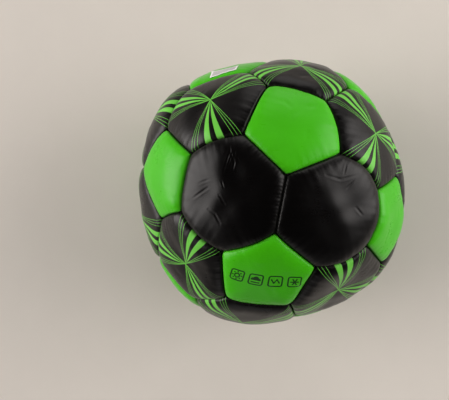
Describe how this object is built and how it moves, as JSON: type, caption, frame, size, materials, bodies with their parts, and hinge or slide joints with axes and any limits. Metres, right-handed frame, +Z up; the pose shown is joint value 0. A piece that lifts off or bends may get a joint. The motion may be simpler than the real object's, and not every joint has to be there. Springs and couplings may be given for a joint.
{
  "type": "football",
  "caption": "Stitched football of pentagon and hexagon panels over a rubber bladder, soft from lost air and standing on its flattened base.",
  "frame": {"origin": "on the floor, in the flattened base, straight below the ball's centre", "axes": "+Z up out of the floor; +Y towards the green panel and the sticker at the back; +X to the right"},
  "size_m": [0.2245, 0.2229, 0.2005],
  "materials": {
    "green_sheet": "glossy coated sheet, foam backed",
    "black_sheet": "glossy coated sheet, foam backed",
    "thread": "waxed polyester thread",
    "bladder_rubber": "thin smooth rubber",
    "valve_rubber": "moulded rubber",
    "core_rubber": "moulded rubber",
    "white_paper": "matte paper label"
  },
  "bodies": {
    "root": {"pentagon_panel_01": "green_sheet", "pentagon_panel_02": "green_sheet", "pentagon_panel_03": "green_sheet", "pentagon_panel_04": "green_sheet", "pentagon_panel_05": "green_sheet", "pentagon_panel_06": "green_sheet", "pentagon_panel_07": "green_sheet", "pentagon_panel_08": "green_sheet", "pentagon_panel_09": "green_sheet", "pentagon_panel_10": "green_sheet", "pentagon_panel_11": "green_sheet", "pentagon_panel_12": "green_sheet", "hexagon_panel_01": "black_sheet", "hexagon_panel_02": "black_sheet", "hexagon_panel_03": "black_sheet", "hexagon_panel_04": "black_sheet", "hexagon_panel_05": "black_sheet", "hexagon_panel_06": "black_sheet", "hexagon_panel_07": "black_sheet", "hexagon_panel_08": "black_sheet", "hexagon_panel_09": "black_sheet", "hexagon_panel_10": "black_sheet", "hexagon_panel_11": "black_sheet", "hexagon_panel_12": "black_sheet", "hexagon_panel_13": "black_sheet", "hexagon_panel_14": "black_sheet", "hexagon_panel_15": "black_sheet", "hexagon_panel_16": "black_sheet", "hexagon_panel_17": "black_sheet", "hexagon_panel_18": "black_sheet", "hexagon_panel_19": "black_sheet", "hexagon_panel_20": "black_sheet", "seam_thread": "thread", "bladder": "bladder_rubber", "valve_housing": "valve_rubber", "valve_core": "core_rubber", "price_sticker": "white_paper"}
  },
  "joints": []
}
